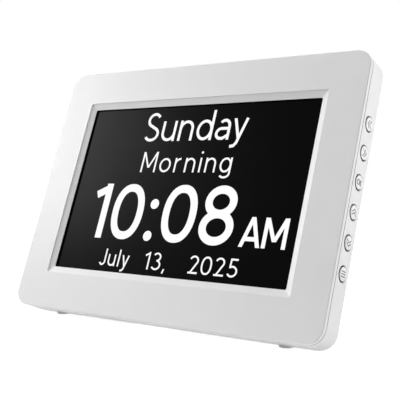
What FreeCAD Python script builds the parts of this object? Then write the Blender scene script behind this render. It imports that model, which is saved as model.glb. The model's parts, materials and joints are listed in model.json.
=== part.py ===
import FreeCAD, Part
import math
import os
import re

import Sketcher

# A calendar day clock that leans back on a fold-out leg.
#
# Every piece is drawn in the case's own axes: x to the right, y from the face into the case, z up the
# face from its lower edge. Each sub-part then gets one common Placement, which leans the case back about
# its lower edge and lifts it on to its feet, so the finished clock stands on z = 0, facing -y.

# Driving sizes in millimetres and degrees.
SIZES = {
    # the display window and the frame round it
    "window_width": 166.5,
    "window_height": 106.6,
    "border_side": 25.6,
    "border_end": 26.2,
    "bevel_width": 4.0,
    "bevel_depth": 1.7,
    "bevel_step": 0.6,
    "bevel_corner": 1.6,
    "window_ease": 0.2,
    "window_corner": 0.9,
    "plate_thickness": 2.0,
    # the case
    "case_depth": 21.2,
    "wall": 2.2,
    "corner_radius": 9.5,
    "front_edge_radius": 0.5,
    "back_edge_radius": 6.5,
    "rim_depth": 2.6,
    "parting_gap": 0.4,
    "tongue_reach": 0.95,
    "tongue_wall": 1.1,
    "seat_gap": 0.15,
    # how it stands
    "lean_angle": 21.2,
    "foot_clearance": 0.4,
    "foot_radius": 4.0,
    "foot_embed": 1.8,
    "foot_inset": 28.0,
    # the display module
    "gasket_thickness": 1.0,
    "gasket_lap": 5.5,
    "gasket_setback": 0.5,
    "lcd_overlap": 7.2,
    "lcd_frame_wall": 0.5,
    "lcd_gap": 0.1,
    "glass_thickness": 1.4,
    "diffuser_thickness": 0.4,
    "guide_thickness": 1.8,
    "reflector_thickness": 0.25,
    "led_bay": 4.0,
    "led_board_thickness": 0.8,
    "led_height": 1.2,
    "led_length": 3.0,
    "led_pitch": 13.0,
    "led_count": 12,
    "rib_thickness": 1.5,
    "rib_length": 14.0,
    "rib_gap": 0.3,
    # the brackets that hold the display module
    "bracket_inset": 10.0,
    "bracket_width": 9.0,
    "bracket_thickness": 0.8,
    "bracket_overhang": 8.5,
    "bracket_boss_radius": 2.9,
    "bracket_boss_offset": 5.0,
    # screws
    "cover_screw_radius": 1.45,
    "cover_head_radius": 2.75,
    "cover_head_height": 2.0,
    "cover_screw_inset": 13.0,
    "cover_screw_rise": 12.0,
    "cover_screw_seat": 14.5,
    "boss_join": 11.0,
    "front_boss_radius": 3.2,
    "rear_boss_radius": 3.9,
    "small_screw_radius": 1.0,
    "small_head_radius": 2.0,
    "small_head_height": 1.3,
    "small_screw_grip": 5.0,
    "bracket_screw_grip": 3.4,
    "thread_gap": 0.05,
    "hole_gap": 0.25,
    "screw_end_gap": 0.5,
    "drive_width": 0.7,
    "drive_depth": 0.9,
    "drive_share": 0.75,
    # the main board and what it carries
    "board_left": 22.0,
    "board_bottom": 28.0,
    "board_width": 58.0,
    "board_height": 70.0,
    "board_clearance": 0.3,
    "board_thickness": 1.6,
    "board_hole_inset": 4.0,
    "post_radius": 2.7,
    "chip_side": 14.0,
    "chip_height": 1.4,
    "chip_right": 26.0,
    "chip_up": 50.0,
    "capacitor_radius": 3.15,
    "capacitor_height": 5.8,
    "capacitor_right": 11.0,
    "capacitor_up": 34.0,
    "capacitor_pitch": 9.0,
    "capacitor_count": 3,
    "coin_radius": 10.0,
    "coin_thickness": 3.2,
    "coin_right": 35.0,
    "coin_up": 18.0,
    "holder_wall": 1.2,
    "holder_floor": 0.8,
    "holder_notch": 8.0,
    "jack_right": 12.0,
    "jack_up": 13.0,
    "jack_side": 9.0,
    "jack_nose_radius": 4.2,
    "jack_bore_radius": 2.85,
    "jack_floor": 1.0,
    "jack_pin_radius": 1.0,
    "jack_setback": 0.3,
    "jack_gap": 0.3,
    "socket_length": 6.0,
    "socket_height": 2.4,
    "socket_width": 11.0,
    # cables
    "flex_width": 18.0,
    "flex_thickness": 0.3,
    "flex_start": 3.5,
    "flex_drop": 0.5,
    "flex_socket_up": 6.0,
    "flex_socket_depth": 4.5,
    "ribbon_width": 8.0,
    "ribbon_thickness": 0.5,
    "ribbon_up": 38.0,
    "wire_width": 2.2,
    "wire_thickness": 0.9,
    "wire_up": 23.0,
    # the side buttons
    "button_pitch": 16.2,
    "button_depth": 9.6,
    "button_row_drop": 0.35,
    "button_radius": 3.6,
    "button_gap": 0.75,
    "button_rim": 0.28,
    "button_proud": 0.5,
    "button_dome_radius": 40.0,
    "button_dome_setback": 3.2,
    "button_flange_radius": 4.75,
    "button_flange": 1.1,
    "button_flange_gap": 0.2,
    "button_stem_radius": 1.3,
    "button_stem": 1.4,
    "button_travel": 0.5,
    "plunger_radius": 1.7,
    "plunger_gap": 0.08,
    "plunger_proud": 0.8,
    "plunger_length": 1.5,
    "switch_side": 6.0,
    "switch_height": 2.6,
    "button_board_width": 9.0,
    "button_board_margin": 6.5,
    "button_boss_radius": 2.3,
    "button_boss_skin": 1.2,
    # the speaker
    "speaker_inset": 46.0,
    "speaker_up": 46.0,
    "speaker_radius": 18.0,
    "speaker_flange": 1.5,
    "speaker_cone_radius": 15.0,
    "speaker_cone": 3.0,
    "speaker_cone_wall": 1.1,
    "magnet_radius": 9.0,
    "magnet_height": 3.0,
    "speaker_gasket_thickness": 0.8,
    "speaker_gasket_width": 2.5,
    "speaker_ring_wall": 1.5,
    "speaker_tab": 3.0,
    "speaker_tab_thickness": 0.8,
    "speaker_tab_width": 6.0,
    "grille_hole_radius": 1.1,
    "grille_ring_step": 4.2,
    "grille_rings": 3,
    "grille_holes_per_ring": 6,
    # the back of the case
    "keyhole_right": 60.0,
    "keyhole_up": 108.0,
    "keyhole_entry_radius": 4.5,
    "keyhole_slot_radius": 2.1,
    "keyhole_rise": 9.0,
    "vent_width": 2.0,
    "vent_length": 16.0,
    "vent_pitch": 6.0,
    "vent_count": 9,
    "vent_up": 112.0,
    # the stand leg and its hinge
    "hinge_up": 84.0,
    "leg_open_angle": 35.0,
    "leg_width": 40.0,
    "leg_foot_width": 30.0,
    "leg_thickness": 3.2,
    "leg_stop": 2.8,
    "leg_edge_radius": 1.0,
    "leg_recess_depth": 6.0,
    "leg_rib": 0.9,
    "leg_rib_border": 5.0,
    "leg_rib_wall": 1.2,
    "leg_side_gap": 1.0,
    "leg_top_gap": 1.4,
    "leg_pad_thickness": 2.0,
    "barrel_radius": 2.8,
    "barrel_gap": 0.4,
    "tray_wall": 2.0,
    "pin_radius": 1.2,
    "pin_running_gap": 0.06,
    "pin_seat_gap": 0.03,
    "washer_gap": 0.1,
    "washer_radius": 2.6,
}

BUTTON_NAMES = ("previous", "next", "confirm", "up", "down", "menu")

# Sizes and places that follow from the driving ones.
FORMULAS = {
    "case_width": "window_width + 2 * border_side",
    "case_height": "window_height + 2 * border_end",
    "half_width": "case_width / 2",
    "mid_height": "case_height / 2",
    "rear_start": "rim_depth + parting_gap",
    "back_inside": "case_depth - wall",
    "side_inside": "half_width - wall",
    # how far a cutting solid runs past what it cuts
    "margin": "wall / 2",
    # the display module, centred behind the window
    "lcd_half_width": "window_width / 2 + lcd_overlap",
    "lcd_half_height": "window_height / 2 + lcd_overlap",
    "lcd_low": "mid_height - lcd_half_height",
    "lcd_high": "mid_height + lcd_half_height",
    "lcd_front": "plate_thickness + gasket_thickness",
    "lcd_back": "reflector_front + reflector_thickness + lcd_frame_wall",
    "stack_half_width": "lcd_half_width - lcd_frame_wall - lcd_gap",
    "stack_low": "lcd_low + lcd_frame_wall + lcd_gap",
    "stack_high": "lcd_high - lcd_frame_wall - lcd_gap",
    "diffuser_front": "lcd_front + glass_thickness",
    "guide_front": "diffuser_front + diffuser_thickness",
    "reflector_front": "guide_front + guide_thickness",
    # the brackets
    "bracket_right": "lcd_half_width - bracket_inset",
    "bracket_low": "lcd_low - bracket_overhang",
    "bracket_high": "lcd_high + bracket_overhang",
    "bracket_back": "lcd_back + bracket_thickness",
    # the cover screws
    "cover_screw_right": "half_width - cover_screw_inset",
    "cover_screw_top": "case_height - cover_screw_rise",
    "cover_screw_tip": "lcd_front + screw_end_gap",
    # the main board
    "board_x": "board_left - half_width",
    "board_right": "board_x + board_width",
    "board_top": "board_bottom + board_height",
    "board_front": "lcd_back + board_clearance + socket_height",
    "board_back": "board_front + board_thickness",
    "jack_x": "board_x + jack_right",
    "jack_z": "board_bottom + jack_up",
    "coin_x": "board_x + coin_right",
    "coin_z": "board_bottom + coin_up",
    "socket_x": "board_right - socket_length - board_hole_inset / 2",
    "ribbon_front": "board_front - (socket_height + ribbon_thickness) / 2",
    "ribbon_z": "board_bottom + ribbon_up",
    "wire_z": "board_bottom + wire_up",
    "wire_front": "board_front - (socket_height + wire_thickness) / 2",
    "flex_x": "board_x + board_width / 2",
    "flex_low": "lcd_low + flex_start",
    "flex_top": "board_bottom + flex_socket_up",
    # the side buttons
    "button_row": "mid_height - button_row_drop",
    "flange_outside": "side_inside - button_flange_gap",
    "flange_inside": "flange_outside - button_flange",
    "plunger_top": "flange_inside - button_stem",
    "plunger_foot": "plunger_top - plunger_length",
    "switch_top": "plunger_top - plunger_proud",
    "button_board_outside": "switch_top - switch_height",
    "button_board_inside": "button_board_outside - board_thickness",
    "button_hole_radius": "button_radius + button_gap",
    "button_board_half": f"{len(BUTTON_NAMES) - 1} * button_pitch / 2 + button_board_margin",
    # the speaker
    "speaker_right": "half_width - speaker_inset",
    "speaker_back": "back_inside - speaker_gasket_thickness",
    "speaker_step": "speaker_back - speaker_flange",
    "magnet_back": "speaker_step - speaker_cone",
    "speaker_ring_radius": "speaker_radius + rib_gap",
    "speaker_tab_front": "speaker_step - speaker_tab_thickness",
    # the hinge, in the case's axes
    "recess_floor": "case_depth - leg_recess_depth",
    "tray_floor": "recess_floor - tray_wall",
    "recess_half": "leg_width / 2 + leg_side_gap",
    "recess_top": "hinge_up + leg_stop + leg_top_gap",
    "hinge_depth": "recess_floor + barrel_gap + barrel_radius",
    # standing: the back edge rests on the feet, and the leg reaches the same level
    "lift": "foot_clearance + back_edge_radius * (1 - cos(lean_angle))"
            " + (case_depth - back_edge_radius) * sin(lean_angle)",
    "front_reach": "front_edge_radius * (cos(lean_angle) + sin(lean_angle) - 1)",
    "back_reach": "(case_depth - back_edge_radius) * cos(lean_angle)"
                  " + (case_height - back_edge_radius) * sin(lean_angle) + back_edge_radius",
    "shift": "0 - (front_reach + back_reach) / 2",
    "foot_y": "(case_depth - back_edge_radius) * cos(lean_angle) + back_edge_radius * sin(lean_angle)",
    "hinge_y": "hinge_depth * cos(lean_angle) + hinge_up * sin(lean_angle) + shift",
    "hinge_z": "hinge_up * cos(lean_angle) - hinge_depth * sin(lean_angle) + lift",
    "leg_splay": "leg_open_angle - lean_angle",
    "leg_reach": "(hinge_z - leg_pad_thickness) / cos(leg_splay) - leg_thickness / 2 * tan(leg_splay)",
}

doc = FreeCAD.newDocument("day_clock")
sheet = doc.addObject("Spreadsheet::Sheet", "Sizes")
for row, (alias, size) in enumerate(SIZES.items(), start=1):
    sheet.set(f"A{row}", alias)
    sheet.set(f"B{row}", str(size))
    sheet.setAlias(f"B{row}", alias)
doc.recompute()

sub_parts = []


def expand(text):
    """An expression in the sheet's aliases from one in plain size names."""
    def replaced(match):
        word = match.group()
        if word in FORMULAS:
            return "(" + expand(FORMULAS[word]) + ")"
        return "Sizes." + word if word in SIZES else word
    return re.sub(r"[a-z][a-z_]*", replaced, text)


def bind(target, name, text):
    target.setExpression(name, expand(text))


def value(text):
    return float(sheet.evalExpression(expand(text)))


def how_many(name):
    return round(value(name))


def place(target, base):
    for axis, text in zip("xyz", base):
        bind(target, f"Placement.Base.{axis}", text)


# ---- primitives and booleans ----

def box(name, x_span, y_span, z_span):
    solid = doc.addObject("Part::Box", name)
    spans = (x_span, y_span, z_span)
    for side, (low, high) in zip(("Length", "Width", "Height"), spans):
        bind(solid, side, f"({high}) - ({low})")
    place(solid, [low for low, high in spans])
    return solid


AXIS_TURNS = {
    "x": FreeCAD.Rotation(FreeCAD.Vector(0, 1, 0), 90),
    "y": FreeCAD.Rotation(FreeCAD.Vector(1, 0, 0), -90),
    "z": FreeCAD.Rotation(),
}


def along(axis, low, centre):
    """The base point of a turned solid: low along its axis, centre across it."""
    base = list(centre)
    base.insert("xyz".index(axis), low)
    return base


def cylinder(name, radius, axis, span, centre):
    low, high = span
    solid = doc.addObject("Part::Cylinder", name)
    bind(solid, "Radius", radius)
    bind(solid, "Height", f"({high}) - ({low})")
    solid.Placement = FreeCAD.Placement(FreeCAD.Vector(), AXIS_TURNS[axis])
    place(solid, along(axis, low, centre))
    return solid


def cone(name, radii, axis, span, centre):
    low, high = span
    solid = doc.addObject("Part::Cone", name)
    bind(solid, "Radius1", radii[0])
    bind(solid, "Radius2", radii[1])
    bind(solid, "Height", f"({high}) - ({low})")
    solid.Placement = FreeCAD.Placement(FreeCAD.Vector(), AXIS_TURNS[axis])
    place(solid, along(axis, low, centre))
    return solid


def fuse(name, solids):
    joined = doc.addObject("Part::MultiFuse", name)
    joined.Shapes = solids
    return joined


def cut(name, base, tools):
    result = doc.addObject("Part::Cut", name)
    result.Base = base
    result.Tool = tools[0] if len(tools) == 1 else fuse(name + "_tools", tools)
    return result


def common(name, first, second):
    result = doc.addObject("Part::Common", name)
    result.Base = first
    result.Tool = second
    return result


def slot_hole(name, radius, y_span, x_centre, z_low, z_high):
    """A slot through the back wall, upright, with round ends at z_low and z_high."""
    ends = [cylinder(f"{name}_end_{i}", radius, "y", y_span, (x_centre, z))
            for i, z in enumerate((z_low, z_high))]
    middle = box(f"{name}_middle", (f"({x_centre}) - ({radius})", f"({x_centre}) + ({radius})"),
                 y_span, (z_low, z_high))
    return fuse(name, [middle] + ends)


# ---- sketched bodies ----

def origin_plane(body, role):
    return next(feature for feature in body.Origin.OriginFeatures if feature.Role == role)


def outline(body, name, plane, corners, offset="0"):
    """A closed polygon on one of the body's origin planes, each corner tied to the sheet."""
    sketch = body.newObject("Sketcher::SketchObject", name)
    sketch.AttachmentSupport = [(origin_plane(body, plane), "")]
    sketch.MapMode = "FlatFace"
    bind(sketch, "AttachmentOffset.Base.z", offset)
    points = [FreeCAD.Vector(value(x), value(y), 0) for x, y in corners]
    count = len(points)
    for i in range(count):
        sketch.addGeometry(Part.LineSegment(points[i], points[(i + 1) % count]), False)
    for i in range(count):
        sketch.addConstraint(Sketcher.Constraint("Coincident", i, 2, (i + 1) % count, 1))
    for i, (x, y) in enumerate(corners):
        for kind, place_now, text in (("DistanceX", points[i].x, x), ("DistanceY", points[i].y, y)):
            index = sketch.addConstraint(Sketcher.Constraint(kind, -1, 1, i, 1, place_now))
            bind(sketch, f"Constraints[{index}]", text)
    return sketch


def rounded_rectangle(body, name, plane, spans, corner, offset):
    """A rectangle with round corners on an origin plane, its four sides and its radius tied to the sheet."""
    sketch = body.newObject("Sketcher::SketchObject", name)
    sketch.AttachmentSupport = [(origin_plane(body, plane), "")]
    sketch.MapMode = "FlatFace"
    bind(sketch, "AttachmentOffset.Base.z", offset)
    radius = value(corner)
    (left, right), (low, high) = [[value(text) for text in span] for span in spans]
    # each corner: its arc's centre, and the way from there to the side that runs into it
    turns = [(right - radius, low + radius, -90), (right - radius, high - radius, 0),
             (left + radius, high - radius, 90), (left + radius, low + radius, 180)]
    upwards = FreeCAD.Vector(0, 0, 1)
    arcs = []
    for x, y, start in turns:
        circle = Part.Circle(FreeCAD.Vector(x, y, 0), upwards, radius)
        arcs.append(Part.ArcOfCircle(circle, math.radians(start), math.radians(start + 90)))
    for before, after in zip(arcs[-1:] + arcs[:-1], arcs):
        sketch.addGeometry(Part.LineSegment(before.EndPoint, after.StartPoint), False)
        sketch.addGeometry(after, False)
    count = 2 * len(arcs)
    for i in range(count):
        sketch.addConstraint(Sketcher.Constraint("Tangent", i, 2, (i + 1) % count, 1))
    for i, kind in enumerate(("Horizontal", "Vertical", "Horizontal", "Vertical")):
        sketch.addConstraint(Sketcher.Constraint(kind, 2 * i))
    for i in range(3, count, 2):
        sketch.addConstraint(Sketcher.Constraint("Equal", 1, i))
    (x_low, x_high), (y_low, y_high) = spans
    for kind, line, place_now, text in (("DistanceY", 0, low, y_low), ("DistanceX", 2, right, x_high),
                                        ("DistanceY", 4, high, y_high), ("DistanceX", 6, left, x_low)):
        index = sketch.addConstraint(Sketcher.Constraint(kind, -1, 1, line, 1, place_now))
        bind(sketch, f"Constraints[{index}]", text)
    index = sketch.addConstraint(Sketcher.Constraint("Radius", 1, radius))
    bind(sketch, f"Constraints[{index}]", corner)
    return sketch


def padded(body, name, sketch, length, both_ways=False, backwards=False):
    pad = body.newObject("PartDesign::Pad", name)
    pad.Profile = sketch
    pad.Midplane = both_ways
    pad.Reversed = backwards
    bind(pad, "Length", length)
    sketch.Visibility = False
    doc.recompute()
    return pad


def edges_where(shape, test):
    return [f"Edge{i}" for i, edge in enumerate(shape.Edges, start=1) if test(edge)]


def along_depth(edge):
    box_of_edge = edge.BoundBox
    return box_of_edge.YLength > max(box_of_edge.XLength, box_of_edge.ZLength)


def at_depth(depth):
    near = 1e-4
    return lambda edge: max(abs(edge.BoundBox.YMin - depth), abs(edge.BoundBox.YMax - depth)) < near


def rounded(body, name, base, edges, radius):
    fillet = body.newObject("PartDesign::Fillet", name)
    fillet.Base = (base, edges)
    bind(fillet, "Radius", radius)
    doc.recompute()
    return fillet


def round_cornered(name, inset, y_span, corner, front=None, back=None):
    """A block with the case's outline, set in all round, its corners and perhaps an end edge rounded."""
    low, high = y_span
    body = doc.addObject("PartDesign::Body", name)
    x_low, x_high = f"0 - half_width + {inset}", f"half_width - ({inset})"
    z_low, z_high = f"{inset}", f"case_height - ({inset})"
    corners = [(x_low, z_low), (x_high, z_low), (x_high, z_high), (x_low, z_high)]
    sketch = outline(body, name + "_outline", "XZ_Plane", corners, f"0 - ({low})")
    feature = padded(body, name + "_pad", sketch, f"({high}) - ({low})", backwards=True)
    feature = rounded(body, name + "_corners", feature, edges_where(feature.Shape, along_depth), corner)
    for end, depth, radius in (("front", low, front), ("back", high, back)):
        if radius:
            edges = edges_where(feature.Shape, at_depth(value(depth)))
            feature = rounded(body, f"{name}_{end}", feature, edges, radius)
    return body


def sub_part(label, solids):
    """One named piece, or one group of like pieces, leaned back with the case."""
    piece = doc.addObject("Part::Compound", label)
    piece.Label = label
    piece.Links = solids
    piece.Placement = FreeCAD.Placement(FreeCAD.Vector(), FreeCAD.Rotation(FreeCAD.Vector(-1, 0, 0), 1))
    bind(piece, "Placement.Rotation.Angle", "lean_angle")
    place(piece, ("0", "shift", "lift"))
    sub_parts.append(piece)
    return piece


# ---- the case ----

def mirrored_pair(x):
    return (f"0 - ({x})", x)


def cover_screw_places():
    corners = [(x, z) for x in mirrored_pair("cover_screw_right")
               for z in ("cover_screw_rise", "cover_screw_top")]
    return corners + [("0", "cover_screw_top")]


def bracket_screw_places(side):
    return [(side, "lcd_low - bracket_boss_offset"), (side, "lcd_high + bracket_boss_offset")]


def button_heights():
    """The buttons' places up the face, from the top one down."""
    last = len(BUTTON_NAMES) - 1
    return [f"button_row + ({last - 2 * i}) * button_pitch / 2" for i in range(len(BUTTON_NAMES))]


def button_board_screw_places():
    return ["button_row - 2 * button_pitch", "button_row + 2 * button_pitch"]


def front_bezel():
    rim = round_cornered("bezel_rim", "0", ("0", "rim_depth"), "corner_radius", front="front_edge_radius")
    hollow = round_cornered("bezel_hollow", "wall", ("plate_thickness", "rim_depth + margin"),
                            "corner_radius - wall")
    tongue_span = ("plate_thickness", "rim_depth + tongue_reach")
    tongue = cut("bezel_tongue",
                 round_cornered("tongue_outside", "wall + seat_gap", tongue_span,
                                "corner_radius - wall - seat_gap"),
                 [round_cornered("tongue_inside", "wall + seat_gap + tongue_wall", tongue_span,
                                 "corner_radius - wall - seat_gap - tongue_wall")])
    shell = cut("bezel_shell", rim, [hollow])
    # the tongue stands on the plate, joined to the rim's foot by a narrow web
    web = cut("bezel_web",
              round_cornered("web_outside", "wall / 2", ("plate_thickness", "rim_depth"),
                             "corner_radius - wall / 2"),
              [round_cornered("web_inside", "wall + seat_gap + tongue_wall / 2",
                              ("plate_thickness - margin", "rim_depth + margin"),
                              "corner_radius - wall - seat_gap - tongue_wall / 2")])
    bosses = []
    pilots = []
    for i, (x, z) in enumerate(cover_screw_places()):
        bosses.append(cylinder(f"front_boss_{i}", "front_boss_radius", "y",
                               ("plate_thickness / 2", "boss_join"), (x, z)))
        pilots.append(cylinder(f"front_pilot_{i}", "cover_screw_radius + thread_gap", "y",
                               ("lcd_front", "boss_join + margin"), (x, z)))
    for side, x in zip(("left", "right"), mirrored_pair("bracket_right")):
        for i, (x_place, z_place) in enumerate(bracket_screw_places(x)):
            bosses.append(cylinder(f"bracket_boss_{side}_{i}", "bracket_boss_radius", "y",
                                   ("plate_thickness / 2", "lcd_back"), (x_place, z_place)))
            pilots.append(cylinder(f"bracket_pilot_{side}_{i}", "small_screw_radius + thread_gap", "y",
                                   ("lcd_back - bracket_screw_grip - screw_end_gap", "lcd_back + margin"),
                                   (x_place, z_place)))
    ribs = locating_ribs()
    body = fuse("bezel_body", [shell, web, tongue] + bosses + ribs)
    sub_part("front_bezel", [cut("bezel_cut", body, [window_opening()] + pilots)])


def window_opening():
    """The hole for the display: a small step down, a sloping frame with mitred corners, an eased edge."""
    body = doc.addObject("PartDesign::Body", "window_opening")
    levels = [("0 - margin", "bevel_width", "bevel_corner"),
              ("bevel_step", "bevel_width", "bevel_corner"),
              ("bevel_depth", "window_ease", "window_corner"),
              ("bevel_depth + window_ease", "0", "window_corner"),
              ("lcd_front", "0", "window_corner")]
    sections = []
    for i, (depth, spread, corner) in enumerate(levels):
        spans = [(f"{centre} - {side} / 2 - ({spread})", f"{centre} + {side} / 2 + {spread}")
                 for centre, side in (("0", "window_width"), ("mid_height", "window_height"))]
        sections.append(rounded_rectangle(body, f"window_level_{i}", "XZ_Plane", spans, corner,
                                          f"0 - ({depth})"))
    loft = body.newObject("PartDesign::AdditiveLoft", "window_loft")
    loft.Profile = sections[0]
    loft.Sections = sections[1:]
    loft.Ruled = True
    doc.recompute()
    return body


def locating_ribs():
    """Two ribs at each corner of the display module, on the back of the plate."""
    ribs = []
    y_span = ("plate_thickness / 2", "lcd_back - bracket_thickness")
    inner_x = "lcd_half_width + rib_gap"
    outer_x = f"{inner_x} + rib_thickness"
    for x_sign in ("-1", "1"):
        for z_sign in ("-1", "1"):
            tag = f"{'left' if x_sign == '-1' else 'right'}_{'low' if z_sign == '-1' else 'high'}"
            ends = sorted((f"{x_sign} * ({inner_x})", f"{x_sign} * ({outer_x})"), key=value)
            edge_z = f"mid_height + {z_sign} * (lcd_half_height)"
            far_z = f"mid_height + {z_sign} * (lcd_half_height - rib_length)"
            ribs.append(box(f"side_rib_{tag}", ends, y_span, sorted((edge_z, far_z), key=value)))
            edge_x = f"{x_sign} * lcd_half_width"
            far_x = f"{x_sign} * (lcd_half_width - rib_length / 2)"
            near_z = f"mid_height + {z_sign} * (lcd_half_height + rib_gap)"
            away_z = f"mid_height + {z_sign} * (lcd_half_height + rib_gap + rib_thickness)"
            ribs.append(box(f"end_rib_{tag}", sorted((edge_x, far_x), key=value), y_span,
                            sorted((near_z, away_z), key=value)))
    return ribs


def rear_cover():
    span = ("rear_start", "case_depth")
    outside = round_cornered("cover_outside", "0", span, "corner_radius", back="back_edge_radius")
    hollow = round_cornered("cover_hollow", "wall", ("rear_start - margin", "back_inside"),
                            "corner_radius - wall", back="back_edge_radius - wall")
    posts, holes = cover_posts_and_holes()
    tray = box("leg_tray", mirrored_pair("recess_half + tray_wall"), ("tray_floor", "case_depth"),
               ("0", "recess_top + tray_wall"))
    filled = fuse("cover_filled", [cut("cover_shell", outside, [hollow]),
                                   common("leg_tray_inside", tray, outside)] + posts)
    recess = box("leg_recess", mirrored_pair("recess_half"), ("recess_floor", "case_depth + margin"),
                 ("0 - margin", "recess_top"))
    pin_hole = cylinder("pin_hole", "pin_radius + pin_seat_gap", "x",
                        mirrored_pair("recess_half + tray_wall + margin"), ("hinge_depth", "hinge_up"))
    sub_part("rear_cover", [cut("cover_cut", filled, [recess, pin_hole] + holes)])


def cover_posts_and_holes():
    posts = []
    holes = []
    through = ("back_inside - margin", "case_depth + margin")
    for i, (x, z) in enumerate(cover_screw_places()):
        posts.append(cylinder(f"rear_boss_{i}", "rear_boss_radius", "y",
                              ("boss_join", "case_depth - wall / 2"), (x, z)))
        holes.append(cylinder(f"rear_clearance_{i}", "cover_screw_radius + hole_gap", "y",
                              ("boss_join - margin", "case_depth"), (x, z)))
        holes.append(cylinder(f"rear_counterbore_{i}", "cover_head_radius + hole_gap", "y",
                              ("cover_screw_seat", "case_depth + margin"), (x, z)))
    for i, (x, z) in enumerate(board_screw_places()):
        posts.append(cylinder(f"board_post_{i}", "post_radius", "y",
                              ("board_back", "case_depth - wall / 2"), (x, z)))
        holes.append(cylinder(f"board_pilot_{i}", "small_screw_radius + thread_gap", "y",
                              ("board_back - margin", "board_front + small_screw_grip + screw_end_gap"),
                              (x, z)))
    for i, z in enumerate(button_board_screw_places()):
        posts.append(cylinder(f"button_boss_{i}", "button_boss_radius", "x",
                              ("button_board_outside", "half_width - wall / 2"), ("button_depth", z)))
        holes.append(cylinder(f"button_pilot_{i}", "small_screw_radius + thread_gap", "x",
                              ("button_board_outside - margin", "half_width - button_boss_skin"),
                              ("button_depth", z)))
    for i, z in enumerate(button_heights()):
        centre = ("button_depth", z)
        holes.append(cylinder(f"button_hole_{i}", "button_hole_radius", "x",
                              ("side_inside - margin", "half_width + margin"), centre))
        holes.append(cone(f"button_rim_{i}", ("button_hole_radius", "button_hole_radius + button_rim"), "x",
                          ("half_width - button_rim", "half_width"), centre))
    ring_span = ("speaker_step", "case_depth - wall / 2")
    centre = ("speaker_right", "speaker_up")
    posts.append(cut("speaker_ring",
                     cylinder("speaker_ring_outside", "speaker_ring_radius + speaker_ring_wall", "y",
                              ring_span, centre),
                     [cylinder("speaker_ring_inside", "speaker_ring_radius", "y",
                               ("speaker_step - margin", "back_inside"), centre)]))
    holes += grille_holes(through)
    holes += vent_slots(through)
    for side, x in zip(("left", "right"), mirrored_pair("keyhole_right")):
        holes.append(cylinder(f"keyhole_entry_{side}", "keyhole_entry_radius", "y", through,
                              (x, "keyhole_up")))
        holes.append(slot_hole(f"keyhole_slot_{side}", "keyhole_slot_radius", through, x, "keyhole_up",
                               "keyhole_up + keyhole_rise"))
    holes.append(cylinder("jack_hole", "jack_nose_radius + jack_gap", "y", through, ("jack_x", "jack_z")))
    return posts, holes


def grille_holes(through):
    """A hole on the speaker's axis, and rings of them round it."""
    holes = [cylinder("grille_hole_middle", "grille_hole_radius", "y", through,
                      ("speaker_right", "speaker_up"))]
    for ring in range(1, how_many("grille_rings") + 1):
        count = ring * how_many("grille_holes_per_ring")
        for i in range(count):
            turn = f"{i} * 360 / {count}"
            centre = (f"speaker_right + {ring} * grille_ring_step * cos({turn})",
                      f"speaker_up + {ring} * grille_ring_step * sin({turn})")
            holes.append(cylinder(f"grille_hole_{ring}_{i}", "grille_hole_radius", "y", through, centre))
    return holes


def vent_slots(through):
    last = how_many("vent_count") - 1
    return [slot_hole(f"vent_{i}", "vent_width / 2", through, f"({2 * i - last}) * vent_pitch / 2",
                      "vent_up", "vent_up + vent_length") for i in range(last + 1)]


# ---- the display module ----

def display_module():
    stack_x = mirrored_pair("stack_half_width")
    stack_z = ("stack_low", "stack_high")
    gasket_reach = "gasket_setback + gasket_lap"
    gasket_out = [(f"0 - window_width / 2 - ({gasket_reach})", f"window_width / 2 + {gasket_reach}"),
                  ("plate_thickness", "lcd_front"),
                  (f"mid_height - window_height / 2 - ({gasket_reach})",
                   f"mid_height + window_height / 2 + {gasket_reach}")]
    gasket_in = [("0 - window_width / 2 - gasket_setback", "window_width / 2 + gasket_setback"),
                 ("plate_thickness - margin", "lcd_front + margin"),
                 ("mid_height - window_height / 2 - gasket_setback",
                  "mid_height + window_height / 2 + gasket_setback")]
    sub_part("display_gasket", [cut("gasket_cut", box("gasket_outside", *gasket_out),
                                    [box("gasket_inside", *gasket_in)])])
    sub_part("lcd_glass", [box("glass_sheet", stack_x,
                               ("lcd_front", "lcd_front + glass_thickness"), stack_z)])
    sub_part("diffuser_sheet", [box("diffuser", stack_x,
                                    ("diffuser_front", "diffuser_front + diffuser_thickness"), stack_z)])
    sub_part("light_guide", [box("guide", stack_x, ("guide_front", "guide_front + guide_thickness"),
                                 ("stack_low + led_bay", "stack_high"))])
    sub_part("reflector_sheet", [box("reflector", stack_x,
                                     ("reflector_front", "reflector_front + reflector_thickness"),
                                     stack_z)])
    led_strip()
    frame = box("lcd_frame_outside", mirrored_pair("lcd_half_width"), ("lcd_front", "lcd_back"),
                ("lcd_low", "lcd_high"))
    inside = box("lcd_frame_inside", mirrored_pair("lcd_half_width - lcd_frame_wall"),
                 ("lcd_front - margin", "lcd_back - lcd_frame_wall"),
                 ("lcd_low + lcd_frame_wall", "lcd_high - lcd_frame_wall"))
    cable_slot = box("lcd_cable_slot",
                     ("flex_x - flex_width / 2 - rib_gap", "flex_x + flex_width / 2 + rib_gap"),
                     ("lcd_back - 2 * lcd_frame_wall", "lcd_back + margin"),
                     ("flex_low - rib_gap", "flex_low + flex_thickness + rib_gap"))
    sub_part("lcd_metal_frame", [cut("lcd_frame_cut", frame, [inside, cable_slot])])


def led_strip():
    """A narrow board along the foot of the light guide, with a row of light-emitting diodes."""
    low = "stack_low"
    top = f"{low} + led_board_thickness"
    y_span = ("guide_front", "guide_front + guide_thickness")
    solids = [box("led_board", mirrored_pair("stack_half_width"), y_span, (low, top))]
    last = how_many("led_count") - 1
    for i in range(last + 1):
        middle = f"({2 * i - last}) * led_pitch / 2"
        solids.append(box(f"led_{i}", (f"{middle} - led_length / 2", f"{middle} + led_length / 2"),
                          y_span, (top, f"{top} + led_height")))
    sub_part("led_strip", [fuse("led_strip_body", solids)])


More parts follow.
